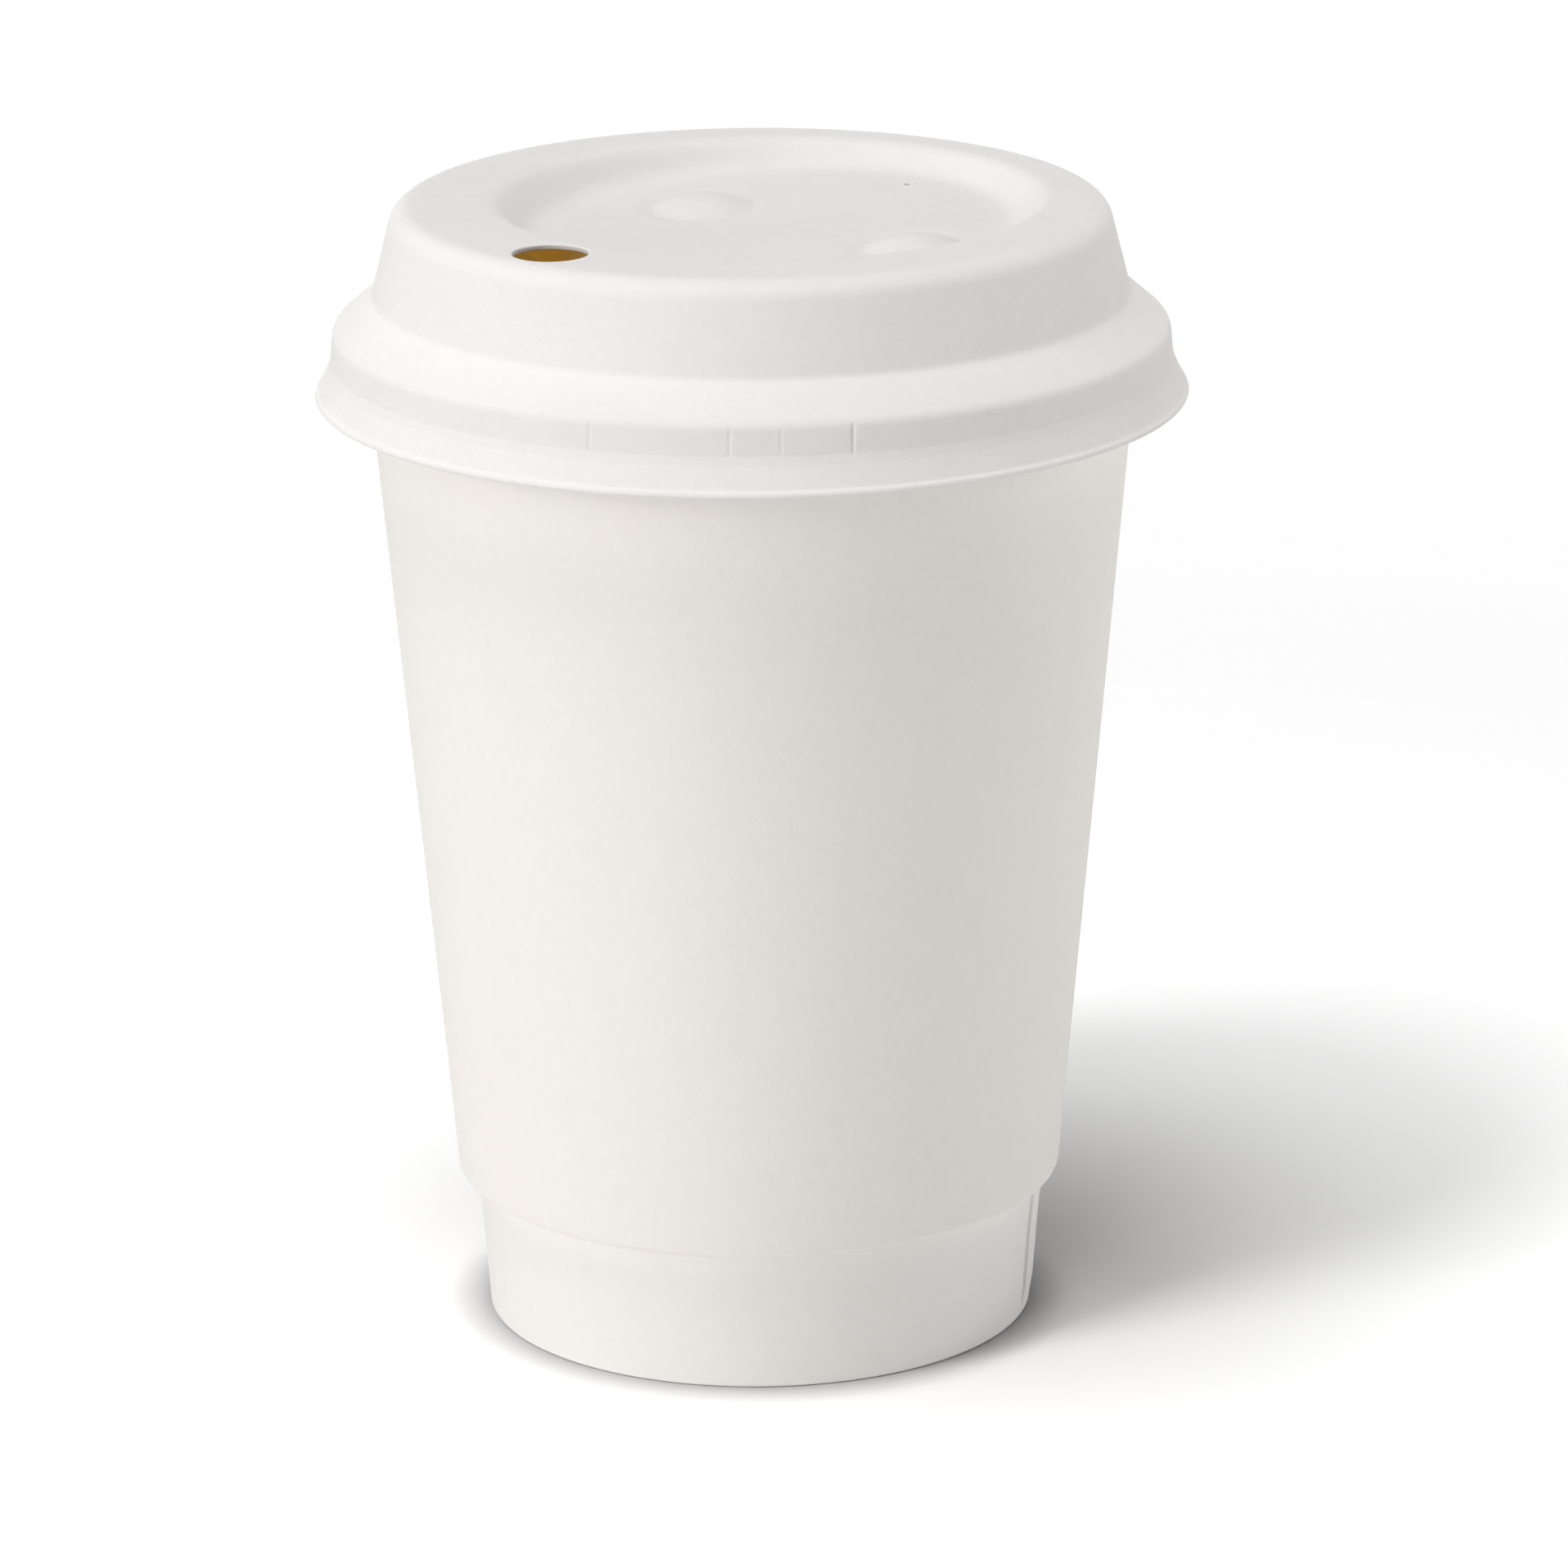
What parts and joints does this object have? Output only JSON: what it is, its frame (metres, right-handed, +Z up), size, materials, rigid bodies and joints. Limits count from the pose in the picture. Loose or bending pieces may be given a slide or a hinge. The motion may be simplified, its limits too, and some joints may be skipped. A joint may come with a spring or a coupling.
{
  "type": "paper coffee cup",
  "caption": "Double-walled paper coffee cup with rolled rim, recessed base and a pressed-fibre lid that pushes on and lifts off.",
  "frame": {"origin": "centre of the foot, on the surface that the cup stands on", "axes": "+Z up along the cup's axis, -Y towards the front; the sip hole is at the front left"},
  "size_m": [0.0948, 0.0948, 0.1255],
  "materials": {
    "cup_board": "satin",
    "jacket_board": "matte",
    "moulded_fibre": "matte"
  },
  "bodies": {
    "cup": {"inner_cup": "cup_board", "base_disc": "cup_board", "outer_jacket": "jacket_board"},
    "lid": {"lid": "moulded_fibre"}
  },
  "joints": [
    {"name": "lid_lift", "type": "slide", "parent": "cup", "child": "lid", "axis": [0, 0, 1], "range_m": [0, 0.04]}
  ]
}
